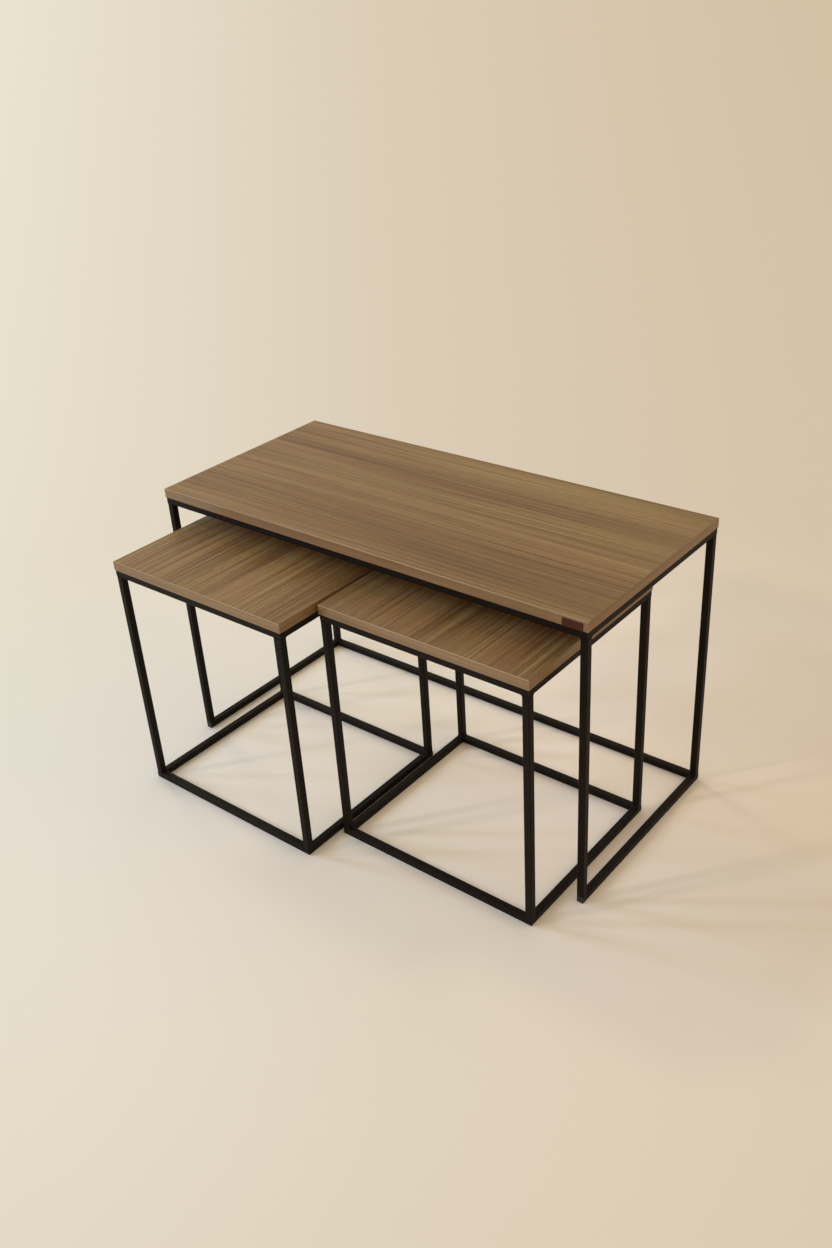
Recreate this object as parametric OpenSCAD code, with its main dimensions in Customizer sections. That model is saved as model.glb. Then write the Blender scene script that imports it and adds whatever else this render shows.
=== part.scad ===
// Set of nesting tables: one wide table and two small ones that slide in under it.
// X runs along the wide table, Y from front to back, Z up from the floor.
// The origin is on the floor, in the middle of the set's footprint.

/* [Wide table] */
// Width of the wide top over its edge bands
wide_w = 1000; // [700:1:1300]
// Depth of the wide top over its edge bands
wide_d = 450; // [330:1:600]
// Height of the wide table
wide_h = 590; // [380:1:760]

/* [Small tables] */
// Gap between a small top and the wide table's leg beside it
leg_clear = 32.3; // [8:0.1:80]
// Gap between the two small tops
pair_gap = 9; // [4:1:30]
// Gap between the small tops and the wide table's top rails
under_clear = 37.2; // [6:0.1:120]
// How far the small tops stop behind the front of the wide top when pushed home
home_setback = 42; // [2:1:120]

/* [How the set stands] */
// How far right of the middle the pair of small tables stands
pair_shift = 3; // [0:0.5:6]
// How far the left table is pulled out past the front of the wide top
left_out = 189; // [0:1:380]
// How far the right table is pulled out past the front of the wide top
right_out = 100; // [0:1:380]

/* [Boards] */
// Thickness of the particle-board core
core_t = 18; // [15:0.5:25]
// Thickness of the wood-grain sheet glued on the core
sheet_t = 0.8; // [0.4:0.1:1.5]
// Thickness of the bands glued round the edges
band_t = 1; // [0.6:0.1:3]
// Radius that the long edges of a band are scraped to
band_r = 0.5; // [0.2:0.1:0.6]
// How far a top reaches past its frame on every side
board_over = 1.2; // [0:0.1:6]

/* [Steel tube] */
// Outside width of the square tube
tube = 14; // [10:0.5:20]
// Wall of the tube
tube_wall = 1.2; // [0.8:0.1:2]
// Outside radius of the tube's corners
tube_r = 1.8; // [0.8:0.1:2.5]
// Bore of the vent holes under the floor rails
vent_d = 3; // [2:0.5:5]
// Distance of a vent hole from the end of its rail
vent_inset = 36; // [25:1:90]

/* [Rail caps] */
// Thickness of the cap that closes the open end of a floor rail
cap_t = 2.5; // [1.5:0.1:4]
// How far the skirt of the cap reaches into the rail
cap_skirt = 8; // [4:0.5:15]
// Wall of the skirt
cap_wall = 1; // [0.6:0.1:1.6]
// Clearance between the skirt and the inside of the tube
cap_fit = 0.1; // [0.05:0.05:0.4]
// Radius of the cap's lower front edge
cap_r = 1.5; // [0.5:0.1:1.8]

/* [Board screws] */
// Diameter of the screws that hold the tops down
screw_d = 4; // [3:0.5:5]
// How far a screw reaches into the core
screw_bite = 12; // [8:0.5:14]
// Length of a screw's point
screw_point = 2; // [1:0.5:4]
// Extra depth of the pilot hole past the point
pilot_extra = 0.5; // [0.3:0.1:0.9]
// Clearance of the screw in the rail, on the diameter
screw_fit = 0.5; // [0.2:0.1:1]
// Diameter of a screw's pan head
head_d = 8; // [6:0.5:9]
// Height of a screw's pan head
head_h = 2.4; // [1.8:0.1:3.2]
// Width of the cross recess
recess_w = 1; // [0.6:0.1:1.4]
// Span of the cross recess
recess_span = 4.4; // [3:0.1:5]
// Depth of the cross recess
recess_depth = 1.4; // [0.8:0.1:1.6]
// Distance of the outer screws from the corners of a frame
screw_inset = 60; // [30:1:120]

/* [Leather tag] */
// Width of the blank tag on the front edge of the wide top
tag_w = 39.5; // [20:0.5:80]
// Height of the tag
tag_h = 15; // [8:0.5:15.5]
// Thickness of the tag
tag_t = 1.2; // [0.6:0.1:2.5]
// Radius of the tag's corners
tag_r = 1; // [0.5:0.1:3]
// Distance of the tag from the right end of the top
tag_inset = 9; // [2:0.5:60]

/* [Hidden] */
$fn = 48;
cut = 1;
steel_colour = "#2b2825";
core_colour = "#b79a6f";
sheet_colour = "#8f7350";
band_colour = "#9a8263";
plastic_colour = "#201e1d";
screw_colour = "#4a4a4a";
leather_colour = "#5a3a2b";

TABLES = ["wide", "left", "right"];
SIDES = ["front", "back", "left", "right"];
CORNERS = ["front_left", "front_right", "back_left", "back_right"];
TOP_RAIL_SCREWS = ["front", "back"];
WIDE_FLOOR_SIDES = ["back", "left", "right"];

function is_wide(t) = t == "wide";
function floor_sides(t) = is_wide(t) ? WIDE_FLOOR_SIDES : SIDES;

// The small tables fill what the wide frame leaves: two side by side between its legs,
// under its top rails, and with their frames against its back floor rail when pushed home.
small_w = (wide_w - 2 * (board_over + tube + leg_clear) - pair_gap) / 2;
small_d = wide_d - tube - home_setback;
small_h = wide_h - core_t - sheet_t - tube - under_clear;

// Inside corners of the tube: the outside radius less the wall, but never quite sharp.
tube_inner_r = max(tube_r - tube_wall, 0.2);

// Sizes of table t: its top, its height, and its frame, which the top reaches past.
function top_w(t) = is_wide(t) ? wide_w : small_w;
function top_d(t) = is_wide(t) ? wide_d : small_d;
function table_h(t) = is_wide(t) ? wide_h : small_h;
function frame_w(t) = top_w(t) - 2 * board_over;
function frame_d(t) = top_d(t) - 2 * board_over;
function frame_h(t) = table_h(t) - core_t - sheet_t;

// Where the front left corner of each top stands, with the set centred on the origin.
front_reach = max(left_out, right_out, 0);
wide_front = (front_reach - wide_d) / 2;
function top_x(t) = is_wide(t) ? -wide_w / 2
    : t == "left" ? pair_shift - pair_gap / 2 - small_w
    : pair_shift + pair_gap / 2;
function top_y(t) = is_wide(t) ? wide_front
    : t == "left" ? wide_front - left_out
    : wide_front - right_out;

// Screws along a top rail: three under the long rails of the wide table, two elsewhere.
function screw_count(t) = is_wide(t) ? 3 : 2;
function screw_place(t, i) = screw_inset + i * (frame_w(t) - 2 * screw_inset) / (screw_count(t) - 1);

// Points along an arc, for corners that are scraped or cast round.
function arc(centre, radius, from, to, steps = 6) =
    [for (i = [0 : steps]) centre + radius * [cos(from + i * (to - from) / steps),
                                              sin(from + i * (to - from) / steps)]];

// Puts its children into table t's own frame, whose corner is the frame's front left foot.
module in_frame(t) {
    translate([top_x(t) + board_over, top_y(t) + board_over, 0]) children();
}

// Turns a piece drawn along the front edge of a w by d rectangle to the side named.
module to_side(side, w, d) {
    if (side == "front") children();
    if (side == "back") translate([0, d, 0]) mirror([0, 1, 0]) children();
    if (side == "left") mirror([1, -1, 0]) children();
    if (side == "right") translate([w, 0, 0]) mirror([1, 0, 0]) mirror([1, -1, 0]) children();
}

function side_length(side, w, d) = side == "front" || side == "back" ? w : d;

// A square with round corners, its own corner at the origin.
module round_square(size, radius) {
    translate([radius, 0]) square([size - 2 * radius, size]);
    translate([0, radius]) square([size, size - 2 * radius]);
    for (x = [radius, size - radius], y = [radius, size - radius])
        translate([x, y]) circle(r = radius);
}

// The section of the steel tube.
module tube_section() {
    difference() {
        round_square(tube, tube_r);
        translate([tube_wall, tube_wall]) round_square(tube - 2 * tube_wall, tube_inner_r);
    }
}

// A prism over the half plane left of the 45 degree line, for cutting mitres.
module mitre_cutter() {
    translate([0, 0, -cut]) linear_extrude(tube + 2 * cut)
        polygon([[-cut, -cut], [tube + cut, tube + cut], [-cut, tube + cut]]);
}

// A rail along X, its outer face on y = 0. A mitred end slopes in at 45 degrees,
// and an open end is square and starts at open_start.
module rail(length, mitre_start = true, open_start = 0) {
    difference() {
        translate([open_start, 0, 0]) rotate([90, 0, 90])
            linear_extrude(length - open_start) tube_section();
        if (mitre_start) mitre_cutter();
        translate([length, 0, 0]) mirror([1, 0, 0]) mitre_cutter();
    }
}

// ---- Top boards -----------------------------------------------------------

// Board screws of table t, as [x, y] in its frame: in the middle of the front and back rails.
function screw_points(t) = [
    for (i = [0 : screw_count(t) - 1], y = [tube / 2, frame_d(t) - tube / 2]) [screw_place(t, i), y]
];

module top_core(t) {
    color(core_colour) difference() {
        translate([top_x(t) + band_t, top_y(t) + band_t, frame_h(t)])
            cube([top_w(t) - 2 * band_t, top_d(t) - 2 * band_t, core_t]);
        in_frame(t) for (p = screw_points(t)) translate([p[0], p[1], frame_h(t)]) {
            translate([0, 0, -cut]) cylinder(h = cut + screw_bite - screw_point, d = screw_d);
            translate([0, 0, screw_bite - screw_point])
                cylinder(h = screw_point + pilot_extra, d1 = screw_d, d2 = screw_d / 4);
        }
    }
}

module top_sheet(t) {
    color(sheet_colour)
        translate([top_x(t) + band_t, top_y(t) + band_t, frame_h(t) + core_t])
            cube([top_w(t) - 2 * band_t, top_d(t) - 2 * band_t, sheet_t]);
}

// Section of an edge band: flat against the core, its two outer edges scraped round.
module band_section() {
    height = core_t + sheet_t;
    polygon(concat(
        [[band_t, 0], [band_t, height]],
        arc([band_r, height - band_r], band_r, 90, 180),
        arc([band_r, band_r], band_r, 180, 270)
    ));
}

// The front and back bands run the full width and cover the ends of the side bands.
module band(t, side) {
    long_side = side == "front" || side == "back";
    inset = long_side ? 0 : band_t;
    length = side_length(side, top_w(t), top_d(t)) - 2 * inset;
    color(band_colour) translate([top_x(t), top_y(t), frame_h(t)])
        to_side(side, top_w(t), top_d(t))
            translate([inset, 0, 0]) rotate([90, 0, 90]) linear_extrude(length) band_section();
}

// ---- Welded tube frames ---------------------------------------------------

// A leg stands on the floor rails and carries the ring of top rails.
module leg(t, corner) {
    x = corner == "front_left" || corner == "back_left" ? 0 : frame_w(t) - tube;
    y = corner == "front_left" || corner == "front_right" ? 0 : frame_d(t) - tube;
    color(steel_colour) in_frame(t) translate([x, y, tube])
        linear_extrude(frame_h(t) - 2 * tube) tube_section();
}

// Holes for the board screws, through both walls of the top rails.
module screw_holes(t) {
    for (p = screw_points(t)) translate([p[0], p[1], frame_h(t) - tube - cut])
        cylinder(h = tube + 2 * cut, d = screw_d + screw_fit);
}

module top_rail(t, side) {
    color(steel_colour) in_frame(t) difference() {
        translate([0, 0, frame_h(t) - tube]) to_side(side, frame_w(t), frame_d(t))
            rail(side_length(side, frame_w(t), frame_d(t)));
        if (side == "front" || side == "back") screw_holes(t);
    }
}

// The wide table has no front floor rail, so its side rails end in open, capped tubes.
module floor_rail(t, side) {
    length = side_length(side, frame_w(t), frame_d(t));
    is_open = is_wide(t) && side != "back";
    color(steel_colour) in_frame(t) to_side(side, frame_w(t), frame_d(t)) difference() {
        rail(length, !is_open, is_open ? cap_t : 0);
        for (x = [vent_inset, length - vent_inset])
            translate([x, tube / 2, -cut]) cylinder(h = cut + 2 * tube_wall, d = vent_d);
    }
}

// ---- Rail caps ------------------------------------------------------------

// Outline of the cap's plate: flat towards the rail, with one or both outer corners round.
module plate_outline(radius_low, radius_high) {
    polygon(concat(
        [[cap_t, 0], [cap_t, tube]],
        radius_high > 0 ? arc([radius_high, tube - radius_high], radius_high, 90, 180) : [[0, tube]],
        arc([radius_low, radius_low], radius_low, 180, 270)
    ));
}

// A moulded cap along X: a plate in front of the tube and a hollow skirt inside it.
// The plate's upper edge stays sharp, under the leg that stands on the rail.
module rail_cap() {
    skirt_at = tube_wall + cap_fit;
    skirt_w = tube - 2 * skirt_at;
    hollow_w = skirt_w - 2 * cap_wall;
    intersection() {
        rotate([90, 0, 90]) linear_extrude(cap_t) round_square(tube, tube_r);
        linear_extrude(tube) plate_outline(tube_r, tube_r);
        translate([0, tube, 0]) rotate([90, 0, 0]) linear_extrude(tube) plate_outline(cap_r, 0);
    }
    translate([cap_t / 2, skirt_at, skirt_at]) difference() {
        rotate([90, 0, 90]) linear_extrude(cap_t / 2 + cap_skirt) round_square(skirt_w, tube_inner_r);
        translate([cap_t / 2, cap_wall, cap_wall]) cube([cap_skirt + cut, hollow_w, hollow_w]);
    }
}

module wide_rail_caps() {
    color(plastic_colour) in_frame("wide") for (side = ["left", "right"])
        to_side(side, frame_w("wide"), frame_d("wide")) rail_cap();
}

// ---- Board screws ---------------------------------------------------------

// A pan-head screw that points up, its head against the underside of the rail at z = 0.
module board_screw() {
    head_r = head_d / 2;
    edge_r = head_h / 2;
    difference() {
        rotate_extrude() polygon(concat(
            [[0, 0], [0, -head_h]],
            arc([head_r - edge_r, edge_r - head_h], edge_r, -90, 0),
            [[head_r, 0]]
        ));
        for (turn = [0, 90]) rotate([0, 0, turn])
            translate([-recess_span / 2, -recess_w / 2, -head_h - cut])
                cube([recess_span, recess_w, recess_depth + cut]);
    }
    cylinder(h = tube + screw_bite - screw_point, d = screw_d);
    translate([0, 0, tube + screw_bite - screw_point])
        cylinder(h = screw_point, d1 = screw_d, d2 = screw_d / 4);
}

module board_screws(t) {
    color(screw_colour) in_frame(t) for (p = screw_points(t))
        translate([p[0], p[1], frame_h(t) - tube]) board_screw();
}

// ---- Leather tag ----------------------------------------------------------

// A blank strip of leather glued on the front band, its lower edge level with the board's.
module leather_tag() {
    left = wide_w / 2 - tag_inset - tag_w;
    color(leather_colour) translate([left, wide_front, frame_h("wide")])
        rotate([90, 0, 0]) linear_extrude(tag_t) union() {
            translate([tag_r, 0]) square([tag_w - 2 * tag_r, tag_h]);
            translate([0, tag_r]) square([tag_w, tag_h - 2 * tag_r]);
            for (x = [tag_r, tag_w - tag_r], y = [tag_r, tag_h - tag_r])
                translate([x, y]) circle(r = tag_r);
        }
}

// ---- The set --------------------------------------------------------------

for (t = TABLES) {
    top_core(t);
    top_sheet(t);
    board_screws(t);
    for (s = SIDES) band(t, s);
    for (c = CORNERS) leg(t, c);
    for (s = SIDES) top_rail(t, s);
    for (s = floor_sides(t)) floor_rail(t, s);
}
wide_rail_caps();
leather_tag();
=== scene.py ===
# %% [markdown]
# # Nesting tables: one wide table and two small ones that slide in under it
#
# The set is welded from black square tube, and each frame carries a board with a
# thin wood-grain face. The solids come from the CAD model, which is loaded here as a
# fixed frame: every tube, board and screw is already in its place, in metres, with
# the floor at Z = 0. This script gives each of them its finish, adds the few shapes
# that are too soft or too small for the CAD model, and sets up a studio.

# %% Load the CAD model
import math

import bmesh
import bpy
import numpy as np
from mathutils import Matrix, Vector


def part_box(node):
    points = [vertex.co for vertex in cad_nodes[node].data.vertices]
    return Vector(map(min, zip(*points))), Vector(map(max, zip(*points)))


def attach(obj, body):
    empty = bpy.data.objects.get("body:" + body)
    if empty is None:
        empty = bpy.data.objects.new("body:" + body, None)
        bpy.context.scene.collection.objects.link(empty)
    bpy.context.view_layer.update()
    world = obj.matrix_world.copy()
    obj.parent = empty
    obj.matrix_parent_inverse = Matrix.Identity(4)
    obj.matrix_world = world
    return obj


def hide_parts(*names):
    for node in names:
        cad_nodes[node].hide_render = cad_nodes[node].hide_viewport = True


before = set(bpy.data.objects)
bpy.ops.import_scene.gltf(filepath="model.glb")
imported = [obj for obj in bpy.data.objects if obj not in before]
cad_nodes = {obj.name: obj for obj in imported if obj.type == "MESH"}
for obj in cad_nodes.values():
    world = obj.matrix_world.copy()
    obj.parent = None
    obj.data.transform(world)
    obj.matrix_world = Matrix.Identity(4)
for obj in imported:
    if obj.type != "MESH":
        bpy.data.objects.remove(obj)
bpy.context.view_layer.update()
TABLES = ("wide", "left", "right")

# %% [markdown]
# ## The camera
#
# A camera can be aimed with a constraint, or by hand. Here its turn is worked out
# from three plain angles, because a tripod head has the same three: how far round
# the set it stands, how far it looks down, and how much it leans. The lens is given
# in millimetres for a frame 36 mm long on its longer side.

# %% Put the camera on its tripod
CAMERA_PLACE = Vector((1.3231, -1.5068, 1.5231))
TURN_ROUND = math.radians(40.496)    # from the front (-Y) towards the right (+X)
LOOK_DOWN = math.radians(30.039)
LEAN = math.radians(-3.826)
LENS_MM, FRAME_MM = 34.0, 36.0
FARTHEST_SEEN = 400.0                # metres


def camera_matrix(place, turn, down, lean):
    """World matrix of a camera: its columns are right, up and backwards.

    forward = (-sin turn cos down, cos turn cos down, -sin down); right is level,
    and right and up are then both leaned about the forward direction.
    """
    forward = Vector((-math.sin(turn) * math.cos(down),
                      math.cos(turn) * math.cos(down), -math.sin(down)))
    level = Vector((math.cos(turn), math.sin(turn), 0.0))
    upright = level.cross(forward)
    right = math.cos(lean) * level + math.sin(lean) * upright
    up = -math.sin(lean) * level + math.cos(lean) * upright
    matrix = Matrix((right, up, -forward)).transposed().to_4x4()
    matrix.translation = place
    return matrix


lens = bpy.data.cameras.new("studio_camera")
lens.sensor_width = FRAME_MM
lens.lens = LENS_MM
lens.clip_end = FARTHEST_SEEN
camera = bpy.data.objects.new("studio_camera", lens)
bpy.context.scene.collection.objects.link(camera)
camera.matrix_world = camera_matrix(CAMERA_PLACE, TURN_ROUND, LOOK_DOWN, LEAN)
bpy.context.scene.camera = camera
print("camera at", tuple(round(v, 3) for v in camera.location), "lens", LENS_MM, "mm")

# %% [markdown]
# ## Small helpers for shader nodes
#
# A material is a graph of nodes. Written out call by call it gets long, so one
# helper adds a node and feeds its sockets, and a few more shorten the sums, noises
# and colour mixes that every finish here needs. They return the socket to link on.

# %% Node helpers
def feed(tree, made, inputs):
    """Link the sockets among a node's inputs, and write the plain values."""
    for name, value in inputs.items():
        if isinstance(value, bpy.types.NodeSocket):
            tree.links.new(value, made.inputs[name])
        else:
            made.inputs[name].default_value = value


def add(tree, kind, inputs=None, **options):
    """Add a shader node; inputs holds plain values, or the sockets to link from."""
    made = tree.nodes.new("ShaderNode" + kind)
    for name, value in options.items():
        setattr(made, name, value)
    feed(tree, made, inputs or {})
    return made


def do(tree, operation, *terms, clamp=False):
    """One Math node, such as ADD or MULTIPLY."""
    return add(tree, "Math", dict(enumerate(terms)), operation=operation,
               use_clamp=clamp).outputs[0]


def noise(tree, vector, scale=1.0, detail=2.0, rough=0.5, flat=False):
    """One Noise Texture's 0 to 1 value, in two dimensions when flat."""
    return add(tree, "TexNoise", {"Vector": vector, "Scale": scale, "Detail": detail,
                                  "Roughness": rough},
               noise_dimensions="2D" if flat else "3D").outputs[0]


def stretch(tree, value, low, high, to_low=0.0, to_high=1.0, kind="LINEAR"):
    """Map Range: low..high becomes to_low..to_high and stays inside them."""
    return add(tree, "MapRange", {"Value": value, "From Min": low, "From Max": high,
                                  "To Min": to_low, "To Max": to_high},
               interpolation_type=kind).outputs[0]


def mix(tree, factor, first, second):
    """Mix two colours by a factor."""
    first, second = (c if isinstance(c, bpy.types.NodeSocket) else (*c, 1.0)
                     for c in (first, second))
    return add(tree, "Mix", {0: factor, 6: first, 7: second},
               data_type="RGBA").outputs[2]


def vector_of(tree, x, y):
    """Two numbers or sockets as a vector with no Z."""
    return add(tree, "CombineXYZ", {0: x, 1: y}).outputs[0]


def parts_of(tree, vector):
    """The X, Y and Z sockets of a vector."""
    return add(tree, "SeparateXYZ", {0: vector}).outputs


def centred(tree, value):
    """A 0 to 1 value as -0.5 to 0.5."""
    return do(tree, "SUBTRACT", value, 0.5)


def weighted(tree, total, *parts):
    """total + each part x its weight."""
    for part, weight in parts:
        total = do(tree, "ADD", total, do(tree, "MULTIPLY", part, weight))
    return total


def nudge(tree, vector, amount, reach):
    """Move a vector by the three lengths in reach, each times the amount."""
    return add(tree, "VectorMath", {0: amount, 1: reach, 2: vector},
               operation="MULTIPLY_ADD").outputs[0]


print("node helpers ready")

# %% [markdown]
# ## Node groups: one effect, used by several finishes
#
# A group is built once and placed in each material with its own values, so a change
# to the way grain or worn edges work reaches every finish. These groups only put out
# numbers and normals that change over the surface. The shader stays in the material.

# %% Group helper
SOCKETS = {"number": "NodeSocketFloat", "vector": "NodeSocketVector",
           "colour": "NodeSocketColor"}


def start_group(name, inputs, outputs):
    """An empty group; inputs are (label, kind, value), outputs are (label, kind).

    Returns the group's tree, the sockets that it is given, and its output node.
    """
    tree = bpy.data.node_groups.new(name, "ShaderNodeTree")
    for label, kind, value in inputs:
        socket = tree.interface.new_socket(name=label, in_out="INPUT",
                                           socket_type=SOCKETS[kind])
        if value is not None:
            socket.default_value = value
    for label, kind in outputs:
        tree.interface.new_socket(name=label, in_out="OUTPUT",
                                  socket_type=SOCKETS[kind])
    given = tree.nodes.new("NodeGroupInput").outputs
    return tree, given, tree.nodes.new("NodeGroupOutput")


def finish_group(tree, end, **results):
    """Link each result to the group output with the same label."""
    for label, socket in results.items():
        tree.links.new(socket, end.inputs[label])
    print("group", tree.name, "-", len(tree.nodes), "nodes")


def place(tree, group, inputs):
    """Place a group in a material and feed its inputs; returns its outputs."""
    made = tree.nodes.new("ShaderNodeGroup")
    made.node_tree = group
    feed(tree, made, inputs)
    return made.outputs


print("group helpers ready")

# %% [markdown]
# ### Straight-cut wood figure
#
# The faces are printed and pressed like straight-cut timber: long marks that run
# almost parallel, in many sizes. Broad soft bands give the board its tone, then come
# streaks a finger wide and thin light and dark lines. Fibres, flecks and short dark
# pores show from close by. A Wave texture would make even stripes, like corduroy.
# Noise that is stretched along the grain wanders as timber does. A slow sideways
# drift, added before the noises are read, makes the lines lean and close up together,
# as they do in one plank. Shortness below 1 draws out the bands, streaks and lines.

# %% The wood figure group
# Noise sizes are turns per metre: along the grain, or along it and across it.
SLOW_SIZE, QUICK_SIZE, HUE_SIZE = (1.7, 3.5), (9.0, 40.0), (1.3, 21.0)
BAND_LENGTH, STREAK_LENGTH, LINE_LENGTH = 1.0, 1.9, 3.0
FIBRE_SIZE, FLECK_SIZE, PORE_SIZE = (30.0, 1300.0), (430.0, 640.0), (55.0, 1500.0)
# Ranges are the noise values at which an effect starts and is complete.
LIGHT_RANGE, DARK_RANGE = (0.54, 0.76), (0.47, 0.26)
HUE_RANGE, PORE_RANGE = (0.30, 0.70), (0.64, 0.74)
SHIVER = 0.0016                      # metres that the quick noise moves a line
# What each mark adds to the tone.
BAND_SHARE, STREAK_SHARE = 0.62, 0.40
LIGHT_LINE, DARK_LINE, FIBRE, FLECK = 0.26, -0.28, 0.30, 0.55
LINE_HEIGHT, PORE_DEPTH = 0.6, 0.7   # shares of a finish's relief
FIGURE_INPUTS = [("Vector", "vector", None)] + [
    (label, "number", value) for label, value in (
        ("Drift", 0.012), ("Contrast", 1.0), ("Bands", 26.0), ("Streaks", 85.0),
        ("Lines", 200.0), ("Fineness", 1.0), ("Shortness", 1.0))]


def stretched_noise(tree, along, across, length, width, detail, rough=0.5):
    """Noise stretched along the grain: length and width are turns per metre."""
    spot = vector_of(tree, do(tree, "MULTIPLY", along, length),
                     do(tree, "MULTIPLY", across, width))
    return noise(tree, spot, detail=detail, rough=rough, flat=True)


def wood_figure_group():
    """Vector: X along the grain, Y across it, in metres.

    Tone = 0.5 + Contrast x (bands and streaks) + Fineness x (lines, fibres, flecks).
    Hue is a broad noise, Pores are the peaks of a fine one, and Relief is the lines
    less the pores.
    """
    tree, given, end = start_group("wood figure", FIGURE_INPUTS, [
        (label, "number") for label in ("Tone", "Hue", "Pores", "Relief")])
    along, across, _ = parts_of(tree, given["Vector"])
    run = do(tree, "MULTIPLY", along, given["Shortness"])
    slow, quick = (centred(tree, stretched_noise(tree, run, across, *size, 1.0))
                   for size in (SLOW_SIZE, QUICK_SIZE))
    bent = weighted(tree, across, (slow, given["Drift"]), (quick, SHIVER))
    bands = stretched_noise(tree, run, bent, BAND_LENGTH, given["Bands"], 1.0)
    streaks = stretched_noise(tree, run, bent, STREAK_LENGTH, given["Streaks"], 2.0)
    lines = stretched_noise(tree, run, bent, LINE_LENGTH, given["Lines"], 2.0, 0.6)
    fibres, flecks = (stretched_noise(tree, along, bent, *size, 2.0, 0.6)
                      for size in (FIBRE_SIZE, FLECK_SIZE))
    broad = weighted(tree, 0.0, (centred(tree, bands), BAND_SHARE),
                     (centred(tree, streaks), STREAK_SHARE))
    fine = weighted(tree, 0.0, (stretch(tree, lines, *LIGHT_RANGE), LIGHT_LINE),
                    (stretch(tree, lines, *DARK_RANGE), DARK_LINE),
                    (centred(tree, fibres), FIBRE), (centred(tree, flecks), FLECK))
    tone = weighted(tree, 0.5, (broad, given["Contrast"]), (fine, given["Fineness"]))
    hue = stretch(tree, stretched_noise(tree, run, bent, *HUE_SIZE, 2.0), *HUE_RANGE)
    pores = stretch(tree, stretched_noise(tree, along, bent, *PORE_SIZE, 1.0),
                    *PORE_RANGE)
    relief = weighted(tree, 0.0, (lines, LINE_HEIGHT), (pores, -PORE_DEPTH))
    finish_group(tree, end, Tone=tone, Hue=hue, Pores=pores, Relief=relief)
    return tree


wood_figure = wood_figure_group()

# %% [markdown]
# ### Worn and highlit edges
#
# Powder coat runs thin on a sharp edge, and hands and carpets polish it there, so an
# edge is a little lighter than the flat beside it; on the coat that lighter edge is also
# a painted highlight. Vertex tricks need a mesh with joined faces. The Bevel node needs
# nothing: it gives the normal that a rounded edge would have, and where that differs
# from the true normal there is an edge.

# %% The worn and highlit edge group
FLAT, ROUNDED = 0.995, 0.80          # cosines between the two normals


def edge_wear_and_highlight_group():
    """Mask = how far the bevelled normal turns from the true one, broken up by noise."""
    tree, given, end = start_group(
        "edge wear and highlight", [("Vector", "vector", None), ("Width", "number", 0.001),
                      ("Patchiness", "number", 0.5)], [("Mask", "number")])
    rounded = add(tree, "Bevel", {"Radius": given["Width"]}, samples=6).outputs[0]
    true_normal = add(tree, "NewGeometry").outputs["Normal"]
    match = add(tree, "VectorMath", {0: rounded, 1: true_normal},
                operation="DOT_PRODUCT").outputs["Value"]
    edge = stretch(tree, match, FLAT, ROUNDED)
    patches = noise(tree, given["Vector"], 70.0, 3.0, 0.6)
    kept = stretch(tree, patches, 0.35, 0.65)
    dulled = do(tree, "MULTIPLY", given["Patchiness"], do(tree, "SUBTRACT", 1.0, kept))
    mask = do(tree, "MULTIPLY", edge, do(tree, "SUBTRACT", 1.0, dulled), clamp=True)
    finish_group(tree, end, Mask=mask)
    return tree


edge_wear_and_highlight = edge_wear_and_highlight_group()

# %% [markdown]
# ### Uneven sheen
#
# No real surface is equally glossy all over: it has been wiped, leaned on and
# dusted. Two sizes of soft cloud, one of hand size and one of finger size, move the
# roughness a little up and down. Only the gloss changes, never the colour.

# %% The uneven sheen group
HAND_SIZE, FINGER_SIZE = 9.0, 55.0   # turns per metre


def uneven_sheen_group():
    """Roughness = Middle + 2 x Swing x (hand-size cloud + half a finger-size cloud)."""
    tree, given, end = start_group(
        "uneven sheen", [("Vector", "vector", None), ("Middle", "number", 0.5),
                         ("Swing", "number", 0.08)], [("Roughness", "number")])
    hand, finger = (centred(tree, noise(tree, given["Vector"], size, 2.0))
                    for size in (HAND_SIZE, FINGER_SIZE))
    swing = do(tree, "MULTIPLY", weighted(tree, 0.0, (hand, 2.0), (finger, 1.0)),
               given["Swing"])
    finish_group(tree, end, Roughness=do(tree, "ADD", given["Middle"], swing, clamp=True))
    return tree


uneven_sheen = uneven_sheen_group()

# %% [markdown]
# ## Finishes
#
# Each finish is one Principled BSDF. A helper starts the material and hands back its
# node tree, its shader and the Object coordinates, which are the metres of the CAD
# model. A pattern read from them keeps its true size and stays put on its piece.

# %% Material helpers
def start_finish(name, **plain):
    """A new material; plain values go straight onto the shader's own sockets."""
    material = bpy.data.materials.new(name)
    material.use_nodes = True
    tree = material.node_tree
    shader = tree.nodes["Principled BSDF"]
    for label, value in plain.items():
        shader.inputs[label.replace("_", " ")].default_value = value
    spot = tree.nodes.new("ShaderNodeTexCoord").outputs["Object"]
    return material, tree, shader, spot


def connect(tree, shader, colour, roughness, height=None, depth=0.0):
    """Link colour and roughness, and a height through a Bump node of this depth."""
    tree.links.new(colour, shader.inputs["Base Color"])
    tree.links.new(roughness, shader.inputs["Roughness"])
    if height is not None:
        bump = add(tree, "Bump", {"Height": height, "Strength": 1.0, "Distance": depth})
        tree.links.new(bump.outputs[0], shader.inputs["Normal"])


def grain_spot(tree, spot, along, across, offset):
    """Object coordinates with the grain's way first, moved so that boards differ."""
    axes = parts_of(tree, spot)
    return vector_of(tree, do(tree, "ADD", axes[along], offset[0]),
                     do(tree, "ADD", axes[across], offset[1]))


print("finish helpers ready")
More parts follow.
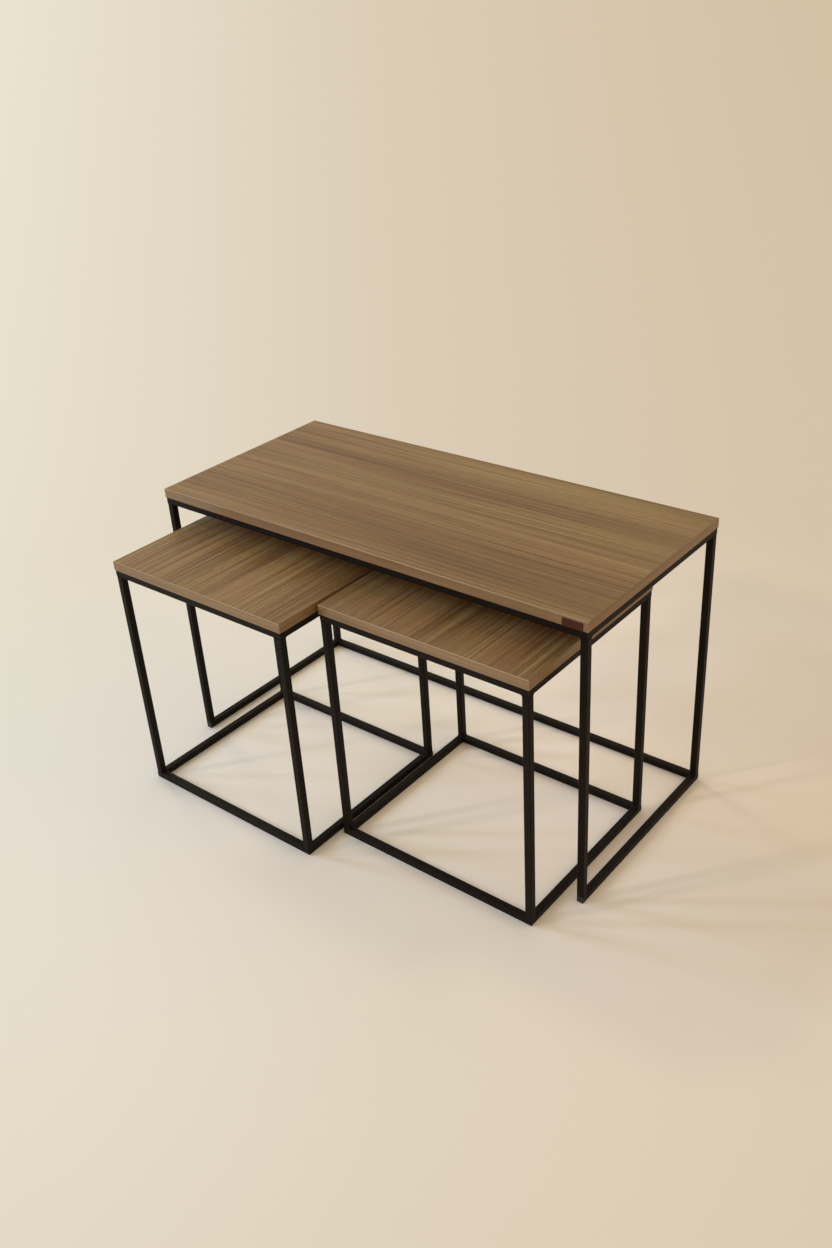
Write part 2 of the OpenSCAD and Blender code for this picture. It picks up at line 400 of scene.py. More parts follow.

# %% [markdown]
# ### Wood-grain face
#
# The face of each board is a melamine sheet with a printed brown-grey grain: light
# streaks between olive and red-brown, darker lines, and pores that are pressed in.
# The wide board's grain runs along its length and the small boards' from front to
# back, so the figure is read along X or along Y, and each board reads it elsewhere.
# Each sheet's colours are also multiplied by three numbers near 1. They are painted
# light and shade, and make up for the light that falls a little differently on each top.

# %% Face sheets
DARK_STREAK = (0.118, 0.052, 0.0135)
OLIVE_WOOD = (0.189, 0.110, 0.033)
RED_WOOD = (0.213, 0.104, 0.035)
LIGHT_STREAK = (0.286, 0.172, 0.061)
PORE_BROWN = (0.074, 0.037, 0.013)
PORE_INK, PORE_DULLNESS = 0.45, 0.15
FULL_LIGHT, FACE_FULL_DARK = 0.85, 0.18  # tones at which a streak has its full colour
FACE_RELIEF = 0.00012                # metres


def scaled(colour, strength):
    """A colour times one number, or times three."""
    return tuple(np.multiply(colour, strength).tolist())


def tone_mix(tree, tone, middle, dark, light, full_dark):
    """The middle colour at tone 0.5, dark at full_dark and light at FULL_LIGHT."""
    darker = mix(tree, stretch(tree, tone, 0.50, full_dark), middle, dark)
    return mix(tree, stretch(tree, tone, 0.50, FULL_LIGHT), darker, light)


def wood_colour(tree, figure, painted_light_tint):
    """Hue picks olive or red-brown; Tone goes from dark streak to light streak."""
    # Every colour is times the sheet's painted light tint.
    olive, red, dark, light, pore = (
        scaled(colour, painted_light_tint)
        for colour in (OLIVE_WOOD, RED_WOOD, DARK_STREAK, LIGHT_STREAK, PORE_BROWN))
    middle = mix(tree, figure["Hue"], olive, red)
    wood = tone_mix(tree, figure["Tone"], middle, dark, light, FACE_FULL_DARK)
    return mix(tree, do(tree, "MULTIPLY", figure["Pores"], PORE_INK), wood, pore)


def face_sheet(name, along, across, offset, painted_light_tint, **figuring):
    """Printed sheet; figuring goes to the wood figure's own inputs."""
    material, tree, shader, spot = start_finish(name, Specular_IOR_Level=0.42)
    grain = grain_spot(tree, spot, along, across, offset)
    figure = place(tree, wood_figure, {"Vector": grain, **figuring})
    gloss = place(tree, uneven_sheen, {"Vector": spot, "Middle": 0.43, "Swing": 0.06})
    rough = weighted(tree, gloss["Roughness"], (figure["Pores"], PORE_DULLNESS))
    connect(tree, shader, wood_colour(tree, figure, painted_light_tint), rough, figure["Relief"],
            FACE_RELIEF)
    return material


ALONG_X, ALONG_Y, ALONG_Z = 0, 1, 2
# The axes along and across the grain, the metres that the figure is moved along them,
# the painted light tint of red, green and blue, and what differs in the figure.
faces = {
    "wide": face_sheet("walnut_face_wide", ALONG_X, ALONG_Y, (5.858, 9.196),
                       (0.96, 0.95, 0.88), Bands=21.0, Contrast=0.90, Fineness=1.15,
                       Shortness=0.58),
    "left": face_sheet("walnut_face_left", ALONG_Y, ALONG_X, (0.706, 2.816),
                       (1.03, 1.03, 0.98), Fineness=1.85, Shortness=0.9),
    "right": face_sheet("walnut_face_right", ALONG_Y, ALONG_X, (8.426, 0.931),
                        (1.03, 1.02, 1.05), Contrast=0.60, Fineness=1.35, Shortness=0.9)}
print("face sheets:", [sheet.name for sheet in faces.values()])

# %% [markdown]
# ### Edge band
#
# The four edges wear a plastic band in the same print, glossier than the face and
# cut flush with a scraper. The scraper cuts through the print, so the top arris of the
# long bands shows as a thin pale line, and that line also holds a painted highlight
# where the arris catches the light. The short bands went on first, are painted a little
# darker as painted shade on the sides, are duller, and have hardly any line. The line
# is found from the surface itself: wherever the band turns up towards the ceiling it has
# been cut, and there the highlight is painted.

# %% Edge bands
BAND_BROWN = (0.218, 0.117, 0.041)
BAND_LIGHT = (0.292, 0.168, 0.064)
BAND_DARK = (0.147, 0.075, 0.024)
# Colour of the pale top line: the cut arris, with a painted highlight in it.
TRIMMED_ARRIS_AND_HIGHLIGHT = (0.360, 0.226, 0.098)
BAND_FIGURE = {"Drift": 0.002, "Bands": 60.0, "Streaks": 200.0, "Lines": 520.0}
BAND_OFFSET = (4.4, 1.9)
BAND_FULL_DARK = 0.15
UPTURN_STARTS, UPTURN_FULL = 0.25, 0.75  # how far up the face has turned
BAND_RELIEF = 0.00003                # metres


def edge_band(name, along, shade, pale, shine):
    """Printed band; pale is how far the pale top line shows, the cut arris with a painted
    highlight in it, and shade scales the browns: below 1 it is painted shade.
    """
    material, tree, shader, spot = start_finish(name, Specular_IOR_Level=shine)
    grain = grain_spot(tree, spot, along, ALONG_Z, BAND_OFFSET)
    figure = place(tree, wood_figure, {"Vector": grain, **BAND_FIGURE})
    brown, dark, light = (scaled(colour, shade)
                          for colour in (BAND_BROWN, BAND_DARK, BAND_LIGHT))
    body = tone_mix(tree, figure["Tone"], brown, dark, light, BAND_FULL_DARK)
    # The faces that turn up get the pale line: the cut arris and a painted highlight.
    facing = parts_of(tree, add(tree, "NewGeometry").outputs["Normal"])[2]
    arris_and_highlight = stretch(tree, facing, UPTURN_STARTS, UPTURN_FULL, 0.0, pale)
    gloss = place(tree, uneven_sheen, {"Vector": spot, "Middle": 0.32, "Swing": 0.06})
    connect(tree, shader, mix(tree, arris_and_highlight, body, TRIMMED_ARRIS_AND_HIGHLIGHT), gloss["Roughness"],
            figure["Relief"], BAND_RELIEF)
    return material


# The deep-way bands' 0.86 is painted shade on the tops' sides, and their pale line is
# nearly left out.
bands = {"front": edge_band("edge_band_long_way", ALONG_X, 1.03, 1.0, 0.80),
         "left": edge_band("edge_band_deep_way", ALONG_Y, 0.86, 0.10, 0.48)}
bands.update(back=bands["front"], right=bands["left"])
print("edge bands:", sorted(bands))

# %% [markdown]
# ### Particle board
#
# Under its face the board is pressed wood chips and glue, sanded flat. Voronoi cells
# look like chips if they are small, uneven and of many browns, so the colour of each
# cell is read as a shade, and a coarser layer of bigger flakes lies over the fine one.
# The wide core is painted darker than the small ones, as painted shade: it sends less
# light down onto the small tops under it.

# %% Particle board
CHIP_SIZES = (950.0, 330.0)          # turns per metre: fine chips, then flakes
CHIP_BROWNS = (((0.310, 0.190, 0.095), (0.540, 0.370, 0.205)),
               ((0.235, 0.135, 0.066), (0.600, 0.425, 0.240)))
CHIP_RELIEF = 0.00008                # metres


def particle_board(name, shade):
    """Pressed chips; shade darkens every brown, as painted shade on the wide core."""
    material, tree, shader, spot = start_finish(name, Specular_IOR_Level=0.25)
    bent = nudge(tree, spot, noise(tree, spot, 220.0, 2.0), (0.004, -0.003, 0.0))
    layers = [add(tree, "TexVoronoi", {"Vector": bent, "Scale": size})
              for size in CHIP_SIZES]
    shades = [parts_of(tree, cells.outputs["Color"])[0] for cells in layers]
    fine, coarse = (mix(tree, cell, *(scaled(brown, shade) for brown in browns))
                    for cell, browns in zip(shades, CHIP_BROWNS))
    colour = mix(tree, stretch(tree, shades[1], 0.55, 0.80), fine, coarse)
    rough = place(tree, uneven_sheen, {"Vector": spot, "Middle": 0.80, "Swing": 0.06})
    connect(tree, shader, colour, rough["Roughness"], shades[0], CHIP_RELIEF)
    return material


# The wide core's 0.60 is painted shade; the chips are the same in all three boards.
chips = {"wide": particle_board("pressed_chips_wide", 0.60),
         "left": particle_board("pressed_chips_small", 1.0)}
chips.update(right=chips["left"])
print("cores:", {table: board.name for table, board in chips.items()})

# %% [markdown]
# ### Powder-coated steel
#
# The tube is sprayed with matt black powder and baked. The powder flows together but
# not quite flat, and leaves a skin like very fine orange peel: a bump of a few
# hundredths of a millimetre. The black is warm and not quite black, and the edges show
# a brown-grey a few shades lighter, partly worn and partly a painted highlight.

# %% Powder coat
COAT_BLACK = (0.0050, 0.0034, 0.0022)
COAT_GREY = (0.0084, 0.0060, 0.0038)
# The coat's edge colour is wear with a painted highlight.
COAT_EDGE_WEAR_AND_HIGHLIGHT = (0.030, 0.0225, 0.0150)
COAT_TINT = (1.0, 0.82, 0.66, 1.0)
COAT_RELIEF = 0.00006                # metres


def clouded(tree, spot, size, first, second):
    """Two colours in soft clouds; size is turns per metre."""
    clouds = stretch(tree, noise(tree, spot, size, 3.0, 0.6), 0.3, 0.7)
    return mix(tree, clouds, first, second)


def edges_worn_and_highlit(tree, spot, width, patchiness, share, body, edge_colour):
    """The body colour, with a share of the edge colour on the edges: on the leather wear,
    on the coat wear and a painted highlight.
    """
    # On the coat this edge mask carries a painted highlight as well as wear.
    worn = place(tree, edge_wear_and_highlight, {"Vector": spot, "Width": width,
                                   "Patchiness": patchiness})
    return mix(tree, do(tree, "MULTIPLY", worn["Mask"], share), body, edge_colour)


def powder_coat():
    """Matt black; the peel is a noise plus 0.3 x a finer one."""
    material, tree, shader, spot = start_finish(
        "matt_black_powder_coat", Specular_IOR_Level=0.11, Specular_Tint=COAT_TINT)
    coat = clouded(tree, spot, 24.0, COAT_BLACK, COAT_GREY)
    # Lighter edges: wear, with a painted highlight.
    colour = edges_worn_and_highlit(tree, spot, 0.0009, 0.6, 0.55, coat, COAT_EDGE_WEAR_AND_HIGHLIGHT)
    gloss = place(tree, uneven_sheen, {"Vector": spot, "Middle": 0.52, "Swing": 0.07})
    peel = weighted(tree, noise(tree, spot, 620.0, 2.0),
                    (noise(tree, spot, 2600.0, 1.0), 0.3))
    connect(tree, shader, colour, gloss["Roughness"], peel, COAT_RELIEF)
    return material


black_coat = powder_coat()
print("frames:", black_coat.name)

# %% [markdown]
# ### Zinc screws and plastic caps
#
# The pan-head screws are black zinc: a dark metal with a faint blue-brown cast, and
# tiny scratches from the driver. The caps in the wide table's open rail ends are
# moulded black plastic with the fine even texture of a spark-eroded mould.

# %% Zinc and plastic
ZINC_BLUE, ZINC_BROWN = (0.085, 0.090, 0.100), (0.135, 0.125, 0.110)
SCRATCH_TURNS = (400.0, 5200.0, 400.0)   # per metre along X, Y and Z
CAP_BLACK, CAP_GREY = (0.012, 0.0118, 0.0115), (0.020, 0.0195, 0.0190)
ZINC_RELIEF, CAP_RELIEF = 0.00003, 0.00004


def zinc():
    """Dark plated metal; the scratches are a noise squeezed along Y."""
    material, tree, shader, spot = start_finish("black_zinc", Metallic=1.0)
    cast = mix(tree, noise(tree, spot, 160.0, 2.0), ZINC_BLUE, ZINC_BROWN)
    gloss = place(tree, uneven_sheen, {"Vector": spot, "Middle": 0.34, "Swing": 0.10})
    squeezed = add(tree, "VectorMath", {0: spot, 1: SCRATCH_TURNS},
                   operation="MULTIPLY").outputs[0]
    connect(tree, shader, cast, gloss["Roughness"], noise(tree, squeezed), ZINC_RELIEF)
    return material


def cap_plastic():
    """Moulded black with a very fine even grain."""
    material, tree, shader, spot = start_finish("moulded_black_cap",
                                                Specular_IOR_Level=0.40)
    colour = mix(tree, noise(tree, spot, 300.0, 2.0), CAP_BLACK, CAP_GREY)
    gloss = place(tree, uneven_sheen, {"Vector": spot, "Middle": 0.62, "Swing": 0.06})
    connect(tree, shader, colour, gloss["Roughness"], noise(tree, spot, 4200.0, 1.0),
            CAP_RELIEF)
    return material


black_zinc, black_cap = zinc(), cap_plastic()
print("fasteners:", black_zinc.name, black_cap.name)

# %% [markdown]
# ### Leather of the tag
#
# The tag is a slip of red-brown veg-tanned leather. Hide is made of small pebbles
# with creases between them, which is what Voronoi cells draw when the distance to the
# edge is read, and the creases are darkened as painted shade. The cut edge has been
# burnished until it is nearly black.

# %% Tag leather
DYE_DARK, DYE_LIGHT = (0.064, 0.0175, 0.0028), (0.114, 0.0325, 0.0056)
# The crease colour is painted shade; the edge's dark colour is burnishing.
CREASE_PAINTED_SHADE, RUBBED_EDGE = (0.018, 0.0075, 0.0040), (0.016, 0.008, 0.005)
HIDE_RELIEF = 0.00008                # metres


def tag_leather():
    """Dye in soft clouds, with painted shade in the creases, and darker on the burnished
    edge.
    """
    material, tree, shader, spot = start_finish("red_brown_leather",
                                                Specular_IOR_Level=0.20)
    hide = nudge(tree, spot, noise(tree, spot, 500.0, 2.0), (0.0009, 0.0, -0.0009))
    cells = add(tree, "TexVoronoi", {"Vector": hide, "Scale": 1150.0},
                feature="DISTANCE_TO_EDGE").outputs["Distance"]
    pebble = stretch(tree, cells, 0.0, 0.16)
    # The creases are darkened: painted shade.
    crease_shaded = mix(tree, pebble, CREASE_PAINTED_SHADE, clouded(tree, spot, 130.0, DYE_DARK, DYE_LIGHT))
    colour = edges_worn_and_highlit(tree, spot, 0.0008, 0.3, 0.5, crease_shaded, RUBBED_EDGE)
    gloss = place(tree, uneven_sheen, {"Vector": spot, "Middle": 0.55, "Swing": 0.08})
    connect(tree, shader, colour, gloss["Roughness"], pebble, HIDE_RELIEF)
    return material


leather = tag_leather()
print("tag:", leather.name)

# %% [markdown]
# ### Dress the CAD pieces
#
# A CAD piece keeps its mesh. Only the material in each of its slots changes, and the
# name of the node says which finish it is.

# %% Assign the finishes
def finish_for(name):
    """The finish of a CAD node, from its name: table, piece and side."""
    table, _, piece = name.partition("_")
    if piece == "top_sheet":
        return faces[table]
    if piece == "top_core":
        return chips[table]
    if piece.startswith("band_"):
        return bands[piece.removeprefix("band_")]
    return {"board_screws": black_zinc, "rail_caps": black_cap,
            "tag": leather}.get(piece, black_coat)


dressed = {}
for name, piece in cad_nodes.items():
    finish = finish_for(name)
    for slot in piece.material_slots:
        slot.material = finish
    dressed[finish.name] = dressed.get(finish.name, 0) + 1
print("dressed:", dressed)

# %% [markdown]
# ## New pieces
#
# Small pieces can be sculpted by hand or grown with modifiers, but then nobody can
# read why a point is where it is. Here a new piece is a numpy grid. Its points are a
# formula of two numbers, worked out as whole arrays, and its faces join each point to
# its neighbours.

# %% Grid to mesh
def grid_faces(rows, columns, wrap=False, start=0):
    """Quads of a rows x columns grid of points; wrap joins the last column to the first."""
    row, column = np.meshgrid(np.arange(rows - 1), np.arange(columns - (not wrap)),
                              indexing="ij")
    after = (column + 1) % columns
    quads = np.stack([row * columns + column, row * columns + after,
                      (row + 1) * columns + after, (row + 1) * columns + column], -1)
    return quads.reshape(-1, 4) + start


def make_piece(name, points, quads, material, body):
    """Mesh object from points and quads, smooth, riding on a body."""
    mesh = bpy.data.meshes.new(name)
    mesh.from_pydata(points.reshape(-1, 3).tolist(), [], quads.tolist())
    mesh.polygons.foreach_set("use_smooth", np.ones(len(mesh.polygons), bool))
    mesh.materials.append(material)
    mesh.update()
    piece = bpy.data.objects.new(name, mesh)
    bpy.context.scene.collection.objects.link(piece)
    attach(piece, body)
    print(name, "-", len(mesh.polygons), "faces")
    return piece


print("grid helpers ready")

# %% [markdown]
# ### Leather tag
#
# The CAD tag is a flat plate. A slip of leather that is glued down has a face that
# swells slightly between its edges, a rounded rim where it was rubbed, and pebbles
# that are really there. A bevel and a bump would come near, but the bump would stop
# short at the outline. The face is a grid over the tag. A point's depth depends on
# how far it lies inside the outline, and the rim closes onto a flat back.

# %% Shape of the leather tag
TAG_CORNER, TAG_RIM = 0.0010, 0.0007     # metres: radii of the corners and the rim
TAG_CROWN, TAG_THINNED = 0.00007, 0.00010    # metres: dome, and less than the plate
PEBBLE_WAVES, PEBBLE_DEPTH = 26, 0.000006    # metres for the depth
PEBBLE_PACE = (700, 2600)            # half the radians per metre
TAG_COLUMNS, TAG_ROWS, TAG_SEED = 150, 58, 11
EDGE_CROWDING = 0.985                # share of a quarter turn of the sine


def crowded(count):
    """Numbers from -1 to 1, packed closer together towards both ends."""
    sines = np.sin(np.linspace(-1, 1, count) * np.pi / 2 * EDGE_CROWDING)
    return sines / np.sin(np.pi / 2 * EDGE_CROWDING)


def past_inner(x, z, inner):
    """How far points lie past the inner rectangle, and which lie past it both ways."""
    over = np.stack([np.abs(x) - inner[0], np.abs(z) - inner[1]])
    return over, (over > 0).all(0)


def onto_corners(x, z, inner):
    """The corners' squares pulled in onto arcs about the inner rectangle's corners."""
    over, corner = past_inner(x, z, inner)
    reach = np.where(corner, np.hypot(*np.maximum(over, 0)), 1.0)
    pull = np.where(corner, np.maximum(over.max(0), 1e-9) / reach, 1.0)
    return (np.where(corner, np.sign(x) * (inner[0] + over[0] * pull), x),
            np.where(corner, np.sign(z) * (inner[1] + over[1] * pull), z))


def pebbles(x, z):
    """Sum of cosine waves, each with a way, a start and a pace of its own."""
    dice = np.random.default_rng(TAG_SEED)
    ripple = np.zeros_like(x)
    for _ in range(PEBBLE_WAVES):
        way, start = dice.uniform(0, 2 * np.pi, 2)
        pace = dice.uniform(*PEBBLE_PACE)
        ripple += np.cos((x * np.cos(way) + z * np.sin(way)) * pace * 2 + start)
    return ripple


def tag_points(low, high):
    """Points of the tag, front grid then back grid.

    Depth = rim x (thickness + crown + pebbles). The rim is a quarter circle over the
    distance inside the outline, the crown a low dome over the whole tag.
    """
    half = np.array([(high.x - low.x) / 2, (high.z - low.z) / 2])
    inner = half - TAG_CORNER
    x, z = onto_corners(*np.meshgrid(crowded(TAG_COLUMNS) * half[0],
                                     crowded(TAG_ROWS) * half[1], indexing="ij"), inner)
    over, corner = past_inner(x, z, inner)
    past = np.where(corner, np.hypot(*np.maximum(over, 0)), over.max(0))
    inside = np.clip(TAG_CORNER - past, 0.0, None)
    rim = np.sqrt(1 - (1 - np.clip(inside / TAG_RIM, 0, 1)) ** 2)
    crown = TAG_CROWN * (1 - (x / half[0]) ** 2) * (1 - (z / half[1]) ** 2)
    relief = PEBBLE_DEPTH * pebbles(x, z) * (inside > TAG_RIM / 2)
    depth = rim * ((high.y - low.y) - TAG_THINNED + crown + relief)
    middle = (low + high) / 2
    front = np.stack([middle.x + x, high.y - depth, middle.z + z], -1)
    back = np.stack([middle.x + x, np.full_like(x, high.y), middle.z + z], -1)
    return front, back


print("tag shape ready")

# %% [markdown]
# The front and the back are two grids with the same outline. Merging the points that
# they share closes the slip, and its faces are then all pointed outwards. The slip
# takes the CAD plate's place and rides on the wide table.

# %% Make the leather tag
SAME_POINT = 1e-7                    # metres


def merge_rim(piece):
    """Merge the doubled points where two grids meet, then point all faces outwards."""
    shell = bmesh.new()
    shell.from_mesh(piece.data)
    bmesh.ops.remove_doubles(shell, verts=shell.verts, dist=SAME_POINT)
    bmesh.ops.recalc_face_normals(shell, faces=shell.faces)
    shell.to_mesh(piece.data)
    shell.free()


def make_tag():
    """The slip of leather, in place of the CAD plate."""
    front, back = tag_points(*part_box("leather_tag"))
    rows, columns = front.shape[:2]
    quads = np.concatenate([grid_faces(rows, columns),
                            grid_faces(rows, columns, start=rows * columns)[:, ::-1]])
    tag = make_piece("leather_tag_slip", np.concatenate([front, back]), quads, leather,
                     "wide_table")
    merge_rim(tag)
    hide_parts("leather_tag")


make_tag()

# %% [markdown]
# ### Weld fillets
#
# Each leg is welded to the rails above and below it, and the seams outside are ground
# flush. Inside the corners nobody grinds, so a small hollow fillet stays there. It is
# a profile carried along a short path: a hollow quarter circle between two tube
# faces, carried across the tube's width, with the ripples that the torch leaves.

# %% Shape of a fillet
FILLET, SUNK = 0.0022, 0.0003        # metres: its leg, and how deep its back lies
RIPPLE_PITCH, WANDER_TURN = 0.0013, 7    # metres, and radians over the bead
RIPPLE, WANDER, AT_ENDS = 0.07, 0.05, 0.35   # shares of the leg
BEAD_ROWS, HOLLOW_POINTS = 15, 8


def fillet_points(edge, along, first, second, length, seed):
    """One bead: rows of a closed profile in the plane of first and second.

    The hollow side is (1 - sin a, 1 - cos a) x the leg of the fillet, a from 0 to 90
    degrees, and the leg swells and shrinks along the bead. The other three corners
    are sunk into the tubes.
    """
    dice = np.random.default_rng(seed)
    run = np.linspace(0.0, 1.0, BEAD_ROWS)
    ends = np.sqrt(np.clip(1 - (2 * run - 1) ** 8, 0, 1))
    ripples = np.sin(run * length / RIPPLE_PITCH * 2 * np.pi + dice.uniform(0, 6))
    wander = np.sin(run * WANDER_TURN + dice.uniform(0, 6))
    swell = 1 + RIPPLE * ripples + WANDER * wander
    leg = FILLET * swell * (AT_ENDS + (1 - AT_ENDS) * ends)
    angle = np.linspace(0.0, np.pi / 2, HOLLOW_POINTS)
    hollow = np.stack([1 - np.sin(angle), 1 - np.cos(angle)], -1)
    tail = np.array([[-SUNK, 0.0], [-SUNK, -SUNK], [0.0, -SUNK]])
    sunk = np.broadcast_to(tail, (BEAD_ROWS, 3, 2)).copy()
    sunk[:, 0, 1] = leg
    sunk[:, 2, 0] = leg
    loop = np.concatenate([leg[:, None, None] * hollow[None], sunk], 1)
    places = np.asarray(edge) + np.outer(run * length, along)
    return (places[:, None] + loop[..., :1] * np.asarray(first)
            + loop[..., 1:] * np.asarray(second))


print("fillet shape ready")

# %% [markdown]
# The CAD boxes of the legs say where the inside corners are. A leg's end meets a rail
# on two of its sides, and the wide table has no floor rail in front, so its front
# legs have only one such corner at the floor.

# %% Make the weld fillets
def joint_beads(table):
    """(edge start, run, wall way, rail way, length) of each inside corner of a table."""
    beads = []
    for side, corner in ((s, c) for s in ("front", "back") for c in ("left", "right")):
        low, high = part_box(f"{table}_leg_{side}_{corner}")
        inward_x = 1.0 if corner == "left" else -1.0
        inward_y = 1.0 if side == "front" else -1.0
        face_x = high.x if corner == "left" else low.x
        face_y = high.y if side == "front" else low.y
        for height, up in ((low.z, 1.0), (high.z, -1.0)):
            if f"{table}_floor_rail_{side}" in cad_nodes or up < 0:
                beads.append(((face_x, low.y, height), (0, 1, 0), (inward_x, 0, 0),
                              (0, 0, up), high.y - low.y))
            beads.append(((low.x, face_y, height), (1, 0, 0), (0, inward_y, 0),
                          (0, 0, up), high.x - low.x))
    return beads


def make_welds(table):
    """All the beads of one table as one piece."""
    beads = [fillet_points(*where, seed) for seed, where in enumerate(joint_beads(table))]
    rows, columns = beads[0].shape[:2]
    quads = [grid_faces(rows, columns, wrap=True, start=number * rows * columns)
             for number in range(len(beads))]
    make_piece(f"{table}_weld_fillets", np.concatenate(beads), np.concatenate(quads),
               black_coat, f"{table}_table")


for table in TABLES:
    make_welds(table)

# %% [markdown]
# ## Floor and light
#
# The set stands on a pale seamless floor that runs on to the horizon. Its colour holds
# a painted pool of light: cream on one side, where a cool window lights it, and sand on
# the other, and a little deeper far away. An image could hold such a gradient. A node
# group needs none, and the room can read the same group, so that floor and room meet
# without a line.

# %% The studio's colours, with a painted pool of light
# Each row goes from the left over the middle to the right. The rows are a painted pool
# of light: paler and cooler on the left, warmer on the right, and deeper far off.
NEAR = ((0.900, 0.900, 0.900), (0.827, 0.741, 0.602), (0.865, 0.681, 0.568))
FAR = ((0.768, 0.746, 0.631), (0.657, 0.569, 0.453), (0.605, 0.494, 0.358))
SIDEWAYS = math.radians(40.5)        # from +X towards +Y
SIDE_REACH, SIDE_SPREAD = 1.2, 0.3   # metres, and metres more for each metre out
NEAR_RADIUS, FAR_RADIUS = -0.1, 1.6  # metres


def floor_colour_and_light_pool_group():
    """Colour of a floor point: side = across / (1.2 + 0.3 radius), from -1 to 1.

    across is how far the point lies along the sideways axis, and radius is its
    distance from the middle of the set. The three near colours are mixed by side,
    then the three far ones, then both by radius, with a smooth step. The gradient is
    a painted pool of light.
    """
    tree, given, end = start_group("floor colour and light pool", [("Vector", "vector", None)],
                                   [("Colour", "colour")])
    x, y, _ = parts_of(tree, given["Vector"])
    across = weighted(tree, 0.0, (x, math.cos(SIDEWAYS)), (y, math.sin(SIDEWAYS)))
    radius = add(tree, "VectorMath", {0: vector_of(tree, x, y)},
                 operation="LENGTH").outputs["Value"]
    side = do(tree, "DIVIDE", across, weighted(tree, SIDE_REACH, (radius, SIDE_SPREAD)))
    rows = [mix(tree, stretch(tree, side, 0.0, 1.0),
                mix(tree, stretch(tree, side, -1.0, 0.0), left, middle), right)
            for left, middle, right in (NEAR, FAR)]
    distance = stretch(tree, radius, NEAR_RADIUS, FAR_RADIUS, kind="SMOOTHSTEP")
    finish_group(tree, end, Colour=mix(tree, distance, *rows))
    return tree


floor_colour_and_light_pool = floor_colour_and_light_pool_group()

# %% [markdown]
# The floor is one flat square, so wide that its edge is nearly on the horizon. It is
# quite matt: with no highlight at all, its brightness is that of the light on it times
# its colour, which holds the painted pool of light.

# %% Floor
FLOOR_SIZE = 160.0                   # metres


def pale_floor():
    """Matt floor in the studio's colours, with their painted pool of light."""
    material, tree, shader, spot = start_finish("pale_floor", Specular_IOR_Level=0.0)
    colour = place(tree, floor_colour_and_light_pool, {"Vector": spot})["Colour"]
    rough = place(tree, uneven_sheen, {"Vector": spot, "Middle": 0.85, "Swing": 0.03})
    connect(tree, shader, colour, rough["Roughness"])
    return material


half = FLOOR_SIZE / 2
sheet = bpy.data.meshes.new("studio_floor")
sheet.from_pydata([(-half, -half, 0), (half, -half, 0), (half, half, 0), (-half, half, 0)],
                  [], [(0, 1, 2, 3)])
sheet.materials.append(pale_floor())
floor = bpy.data.objects.new("studio_floor", sheet)
bpy.context.scene.collection.objects.link(floor)
print("floor:", FLOOR_SIZE, "m square")

# %% [markdown]
# ### Studio light
#
# About three quarters of the light comes from the room. The lamps are all far off, so
# they are sun lamps, and their disc sets how soft the shadows are. A cool window
# stands on the left, and a weak warm lamp on the right. Small spots on the left and in
# front each throw a faint thin shadow of every leg. A weak box at the back on the left
# gives the wide top a soft-edged shade on the small ones.

# %% Lamps
DAYLIGHT, SKYLIGHT = (0.34, 0.60, 1.0), (0.42, 0.66, 1.0)
ROSE_WHITE, CREAM_WHITE = (1.0, 0.90, 0.96), (1.0, 0.90, 0.68)
LAMPLIGHT = (1.0, 0.60, 0.34)


def lamp_from(name, towards, height, strength, disc, colour):
    """A sun lamp at a compass direction, height and disc width, all in degrees.

    The direction counts from +X towards +Y.
    """
    lamp = bpy.data.lights.new(name, "SUN")
    lamp.energy, lamp.angle, lamp.color = strength, math.radians(disc), colour
    made = bpy.data.objects.new(name, lamp)
    bpy.context.scene.collection.objects.link(made)
    turn, lift = math.radians(towards), math.radians(height)
    source = Vector((math.cos(turn) * math.cos(lift), math.sin(turn) * math.cos(lift),
                     math.sin(lift)))
    made.rotation_euler = source.to_track_quat("Z", "Y").to_euler()
    return made


lamps = [lamp_from("left_window", 196, 22, 1.25, 12, DAYLIGHT),
         lamp_from("left_spot", 214, 28, 0.54, 4, SKYLIGHT),
         lamp_from("front_left_spot", 232, 28, 0.50, 4, ROSE_WHITE),
         lamp_from("right_lamp", 18, 38, 0.13, 9, LAMPLIGHT),
         lamp_from("back_left_box", 162, 52, 0.28, 9, CREAM_WHITE)]
print("lamps:", [lamp.name for lamp in lamps])

# %% [markdown]
# ### The room
#
# The room's pale walls shine most about a third of the way up, and its ceiling is
# dim, so light reaches in under the tops and the floor stays bright there. A big lamp
# overhead would be simpler, but it would leave the floor dark under the boards. The
# level is a curve over u, the rise of a ray: walls x u (1 - u) + ceiling x u squared.
# It is a little higher behind the set, and warmer on the right, away from the window.

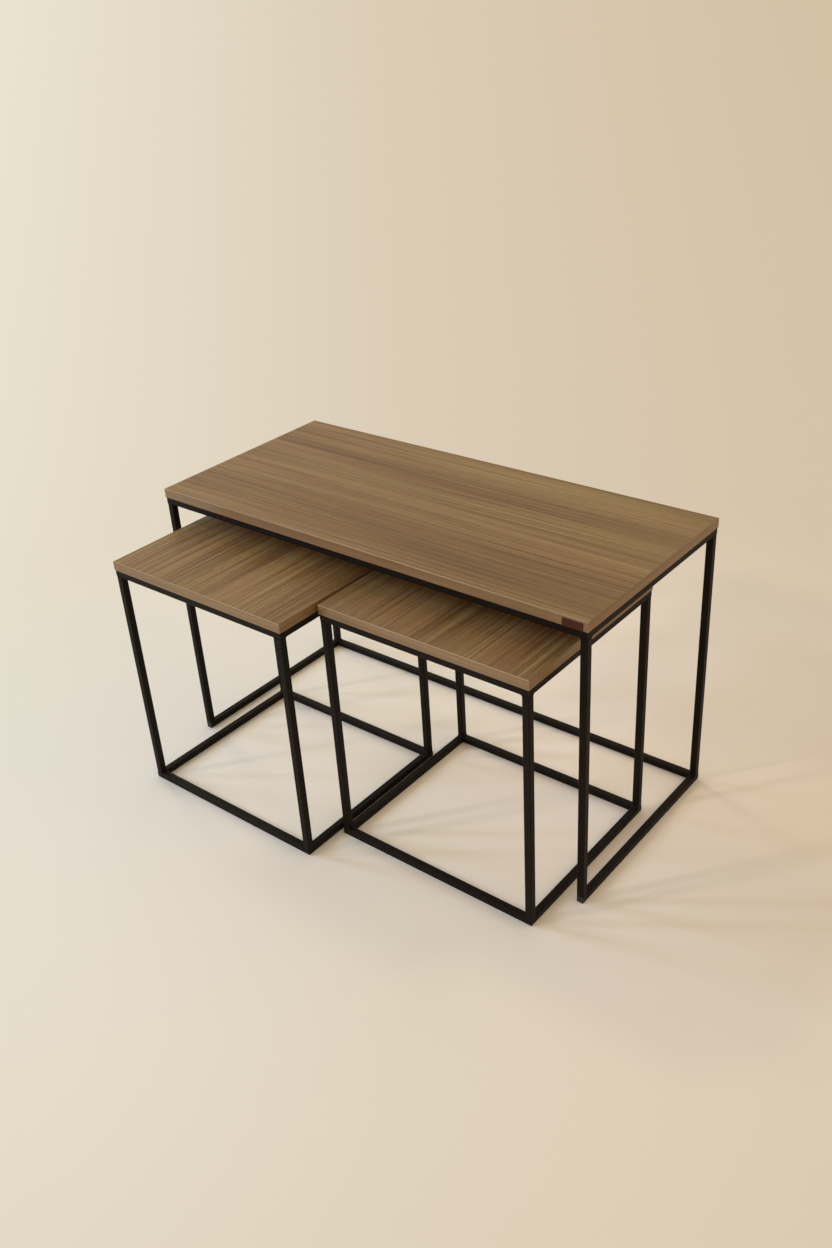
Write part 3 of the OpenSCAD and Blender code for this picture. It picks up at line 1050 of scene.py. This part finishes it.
# %% Light from the room
WALLS, CEILING, BACK_WALL = 4.1, 0.30, 0.30
LEFT_GLOW, RIGHT_GLOW = (1.0, 0.98, 0.92), (1.0, 0.90, 0.72)

world = bpy.data.worlds.new("studio_room")
bpy.context.scene.world = world
world.use_nodes = True
room = world.node_tree
way = room.nodes.new("ShaderNodeTexCoord").outputs["Generated"]
rightward, away, rising = parts_of(room, way)
up = do(room, "MAXIMUM", rising, 0.0)
wall_curve = do(room, "MULTIPLY", up, do(room, "SUBTRACT", 1.0, up))
level = weighted(room, 0.0, (wall_curve, WALLS), (do(room, "MULTIPLY", up, up), CEILING))
level = do(room, "MULTIPLY", level, weighted(room, 1.0, (away, BACK_WALL)))
glow = mix(room, weighted(room, 0.5, (rightward, 0.5)), LEFT_GLOW, RIGHT_GLOW)
print("room light: walls", WALLS, "ceiling", CEILING, "back wall", BACK_WALL)

# %% [markdown]
# Past the floor's edge the room itself would show, and a dark line would mark the
# horizon. So where the room is looked at, straight or mirrored in a face, it wears
# the far floor's colours with their painted pool of light, times the light that falls
# there. Only the light that it sends to the set follows the curve above.

# %% What is seen of the room
FAR_LIGHT = (1.0868, 1.0731, 1.0404)

path = room.nodes.new("ShaderNodeLightPath").outputs
seen = do(room, "MAXIMUM", do(room, "MAXIMUM", path["Is Camera Ray"],
                              path["Is Transmission Ray"]), path["Is Glossy Ray"])
far_off = add(room, "VectorMath", {0: way, 1: (FLOOR_SIZE / 2,) * 3},
              operation="MULTIPLY").outputs[0]
# The backdrop wears the floor's painted pool of light too.
paint = place(room, floor_colour_and_light_pool, {"Vector": far_off})["Colour"]
backdrop = add(room, "VectorMath", {0: paint, 1: FAR_LIGHT},
               operation="MULTIPLY").outputs[0]
lit = do(room, "MULTIPLY", do(room, "SUBTRACT", 1.0, seen), level)
feed(room, room.nodes["Background"], {"Color": mix(room, seen, glow, backdrop),
                                      "Strength": do(room, "ADD", seen, lit)})
bpy.context.scene.view_settings.view_transform = "Standard"
print("room:", len(room.nodes), "nodes")
